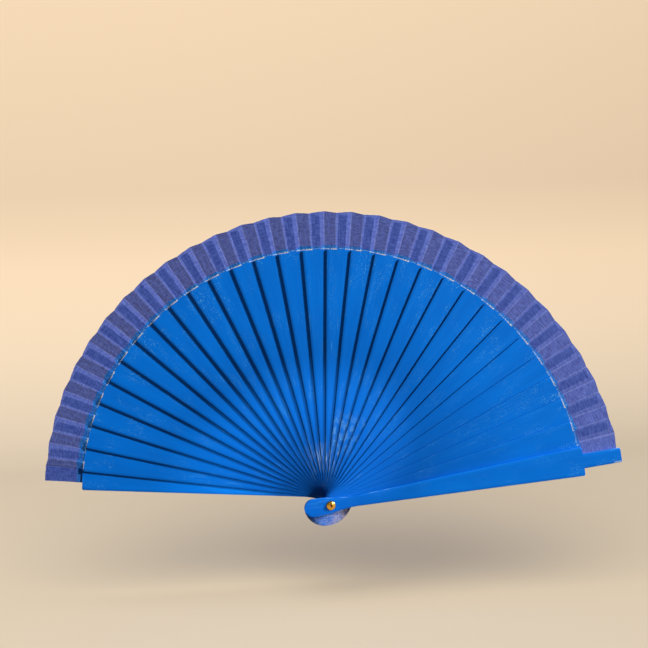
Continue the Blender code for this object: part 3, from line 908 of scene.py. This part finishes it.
def makeStage():
    # a pale cardboard floor that sweeps up into the backdrop, matt and without grain
    s = stage
    floor = -s["floorDrop"]
    bend = s["backDistance"] - s["sweepRadius"]
    profile = [(s["frontEdge"], floor), (bend, floor)]
    for deg in range(10, 100, 10):
        turn = math.radians(deg)
        rise = s["sweepRadius"] * (1 - math.cos(turn))
        profile.append((bend + s["sweepRadius"] * math.sin(turn), floor + rise))
    profile.append((s["backDistance"], s["wallTop"]))
    half = s["width"] / 2
    verts = [(x, y, z) for y, z in profile for x in (-half, half)]
    faces = [(2 * k, 2 * k + 1, 2 * k + 3, 2 * k + 2) for k in range(len(profile) - 1)]
    mesh = bpy.data.meshes.new("paleFloor")
    mesh.from_pydata(verts, [], faces)
    mesh.shade_smooth()
    material, tree, shader = newMaterial("paleCardboard", s["shader"])
    place = addNode(tree, "ShaderNodeTexCoord").outputs["Object"]
    sources = {"height": addNode(tree, "ShaderNodeSeparateXYZ", {}, {0: place}).outputs[2]}
    wall = {"wall": {"colour": s["wallColour"], "amount": 1.0,
                     "fades": [("height", floor, floor + s["blendHeight"])]}}
    tree.links.new(layered(tree, s["floorColour"], wall, sources), shader.inputs["Base Color"])
    mesh.materials.append(material)
    floorObject = newObject("paleFloor", mesh)
    floorObject.visible_diffuse = False   # the floor's bounce would fill the shadows between the sticks
    print("floor and backdrop made")


lights = {
    "aim": (0.0, 0.0, 0.1),
    "airColour": "#F0F0FF",
    "airStrength": 0.1,
    "seenColour": "#F3DCBC",   # what is seen past the backdrop
    "lamps": {
        "key": {"toward": (0.81, -0.34, 0.47), "distance": 5.0, "size": 0.5, "watts": 548.0,
                "colour": "#FFFAF2"},
        "fill": {"toward": (-0.35, -1.0, 0.35), "distance": 1.6, "size": 1.2, "watts": 0.8,
                 "colour": "#FFF0DE"},
        "back": {"toward": (0.45, 1.0, 0.45), "distance": 0.75, "size": 0.5, "watts": 6.5,
                 "colour": "#FFF6EA"},
        "floor": {"toward": (-0.15, -0.58, 0.8), "distance": 3.0, "size": 6.0, "watts": 226.0,
                  "colour": "#FFFAF2"},
    },
    # small cards of light that open the shadows round the rivet
    "cards": {
        "innerCard": {"place": (0.32, -0.45, 0.26), "aim": (-0.022, 0.0, 0.03), "coneDeg": 14.0,
                      "size": 0.006, "watts": 15.0, "colour": "#FFFAF2"},
        "headCard": {"place": (0.06, -0.42, -0.045), "aim": (0.0, 0.0, -0.015), "coneDeg": 4.0,
                     "size": 0.004, "watts": 5.5, "colour": "#FFFAF2"},
    },
}


def makeAir():
    # dim air light, and a pale colour where the camera sees past the backdrop
    s = lights
    world = bpy.data.worlds.new("studioAir")
    world.use_nodes = True
    tree = world.node_tree
    air = tree.nodes["Background"]
    air.inputs["Color"].default_value = (*hexToLinear(s["airColour"]), 1.0)
    air.inputs["Strength"].default_value = s["airStrength"]
    seen = addNode(tree, "ShaderNodeBackground", {"Color": (*hexToLinear(s["seenColour"]), 1.0)})
    rays = addNode(tree, "ShaderNodeLightPath")
    both = addNode(tree, "ShaderNodeMixShader", {}, {0: rays.outputs["Is Camera Ray"], 1: air, 2: seen})
    tree.links.new(both.outputs[0], tree.nodes["World Output"].inputs["Surface"])
    bpy.context.scene.world = world


def placeLamp(name, lamp, settings, place, aim, receivers):
    # a lamp turned from its place to its aim, that lights these receivers only
    lamp.energy = settings["watts"]
    lamp.color = hexToLinear(settings["colour"])
    lampObject = newObject(name, lamp)
    lampObject.location = place
    lampObject.rotation_euler = (place - aim).to_track_quat("Z", "Y").to_euler()
    lampObject.light_linking.receiver_collection = receivers


def makeLights():
    # the floor has its own soft lamp, and the others leave it out
    makeAir()
    reach = {}
    for label, state in (("fanOnly", "EXCLUDE"), ("floorOnly", "INCLUDE")):
        reach[label] = bpy.data.collections.new(label)
        reach[label].objects.link(bpy.data.objects["paleFloor"])
        reach[label].collection_objects[0].light_linking.link_state = state
    middle = Vector(lights["aim"])
    for name, settings in lights["lamps"].items():
        lamp = bpy.data.lights.new(name + "Lamp", "AREA")
        lamp.shape = "DISK"
        lamp.size = settings["size"]
        place = middle + Vector(settings["toward"]).normalized() * settings["distance"]
        receivers = reach["floorOnly" if name == "floor" else "fanOnly"]
        placeLamp(name + "Lamp", lamp, settings, place, middle, receivers)
    for name, settings in lights["cards"].items():
        spot = bpy.data.lights.new(name, "SPOT")
        spot.shadow_soft_size = settings["size"]
        spot.spot_size = math.radians(settings["coneDeg"])
        spot.spot_blend = 1.0
        place, aim = Vector(settings["place"]), Vector(settings["aim"])
        placeLamp(name, spot, settings, place, aim, reach["fanOnly"])
    print("lamps made:", len(lights["lamps"]) + len(lights["cards"]))


cameraSet = {
    "lens": 39.6,
    "sensor": 36.0,
    "distance": 0.5176,
    "target": (-0.004083, 0.0, 0.12776),
    "azimuthDeg": -2.966,
    "elevationDeg": 1.073,
    "fanTurnDeg": 2.125,       # the fan is held turned by this much
    "near": 0.01,
    "far": 50.0,
}


def makeCamera():
    # a camera that looks at its target from a little to the left and above
    s = cameraSet
    lens = bpy.data.cameras.new("fanCamera")
    lens.sensor_width = s["sensor"]
    lens.lens = s["lens"]
    lens.clip_start = s["near"]
    lens.clip_end = s["far"]
    camera = newObject("fanCamera", lens)
    azimuth, elevation = math.radians(s["azimuthDeg"]), math.radians(s["elevationDeg"])
    back = Vector((math.cos(elevation) * math.sin(azimuth), -math.cos(elevation) * math.cos(azimuth),
                   math.sin(elevation)))
    facing = back.to_track_quat("Z", "Y").to_matrix().to_4x4()
    level = Matrix.Translation(Vector(s["target"]) + back * s["distance"]) @ facing
    camera.matrix_world = Matrix.Rotation(math.radians(s["fanTurnDeg"]), 4, "Y") @ level
    bpy.context.scene.camera = camera
    print("camera set")


makeCamera()
makeStage()
makeLights()
bpy.context.scene.view_settings.view_transform = "Standard"
makeBlades({"stick": paintedWood("brushedBluePaint", "stick"),
            "guard": paintedWood("brushedBluePaintGuard", "guard")})
makeLeaf(wovenCotton())
makeRivet(pressedBrass())
